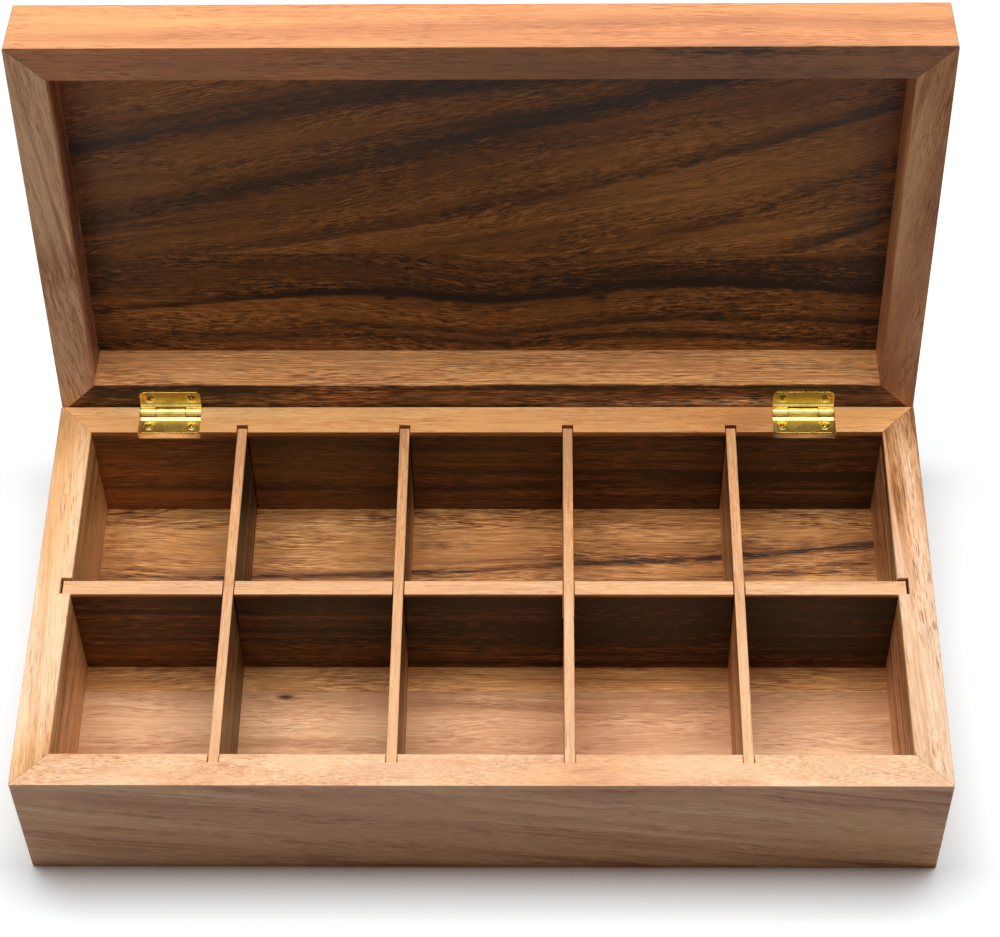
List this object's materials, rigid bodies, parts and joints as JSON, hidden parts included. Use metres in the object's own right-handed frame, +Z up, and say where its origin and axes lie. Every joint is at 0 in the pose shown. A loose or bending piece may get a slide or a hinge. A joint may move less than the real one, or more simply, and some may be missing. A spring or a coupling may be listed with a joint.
{
  "type": "tea bag organizer box",
  "caption": "Flat rectangular wooden tea box with mitred walls, lift-out half-lapped dividers and a panelled lid on two brass butt hinges.",
  "frame": {"origin": "centre of the base's flat underside, where it rests on a table", "axes": "+X to the right along the box's width, +Y to the back where the hinges are, +Z up; the lid stands fully open at rest"},
  "size_m": [0.356, 0.2387, 0.2395],
  "materials": {
    "honey_wood": "satin",
    "tan_wood": "satin",
    "walnut_wood": "satin",
    "amber_wood": "satin",
    "brass": "polished"
  },
  "bodies": {
    "base": {"base_front_wall": "tan_wood", "base_back_wall": "honey_wood", "base_left_wall": "honey_wood", "base_right_wall": "tan_wood", "base_floor": "tan_wood", "left_hinge_base_leaf": "brass", "right_hinge_base_leaf": "brass", "left_hinge_pin": "brass", "right_hinge_pin": "brass", "base_hinge_screws": "brass"},
    "lid": {"lid_front_rail": "amber_wood", "lid_back_rail": "tan_wood", "lid_left_rail": "tan_wood", "lid_right_rail": "tan_wood", "lid_panel": "walnut_wood", "left_hinge_lid_leaf": "brass", "right_hinge_lid_leaf": "brass", "lid_hinge_screws": "brass"},
    "long_divider": {"long_divider": "honey_wood"},
    "cross_divider_1": {"cross_divider_1": "honey_wood"},
    "cross_divider_2": {"cross_divider_2": "honey_wood"},
    "cross_divider_3": {"cross_divider_3": "honey_wood"},
    "cross_divider_4": {"cross_divider_4": "honey_wood"}
  },
  "joints": [
    {"name": "lid_hinge", "type": "hinge", "parent": "base", "child": "lid", "pos_m": [0, 0.09022, 0.05945], "axis": [-1, 0, 0], "range_deg": [-98.2, 0]},
    {"name": "long_divider_lift", "type": "slide", "parent": "base", "child": "long_divider", "axis": [0, 0, 1], "range_m": [0, 0.06]},
    {"name": "cross_divider_1_lift", "type": "slide", "parent": "long_divider", "child": "cross_divider_1", "axis": [0, 0, 1], "range_m": [0, 0.06]},
    {"name": "cross_divider_2_lift", "type": "slide", "parent": "long_divider", "child": "cross_divider_2", "axis": [0, 0, 1], "range_m": [0, 0.06]},
    {"name": "cross_divider_3_lift", "type": "slide", "parent": "long_divider", "child": "cross_divider_3", "axis": [0, 0, 1], "range_m": [0, 0.06]},
    {"name": "cross_divider_4_lift", "type": "slide", "parent": "long_divider", "child": "cross_divider_4", "axis": [0, 0, 1], "range_m": [0, 0.06]}
  ]
}
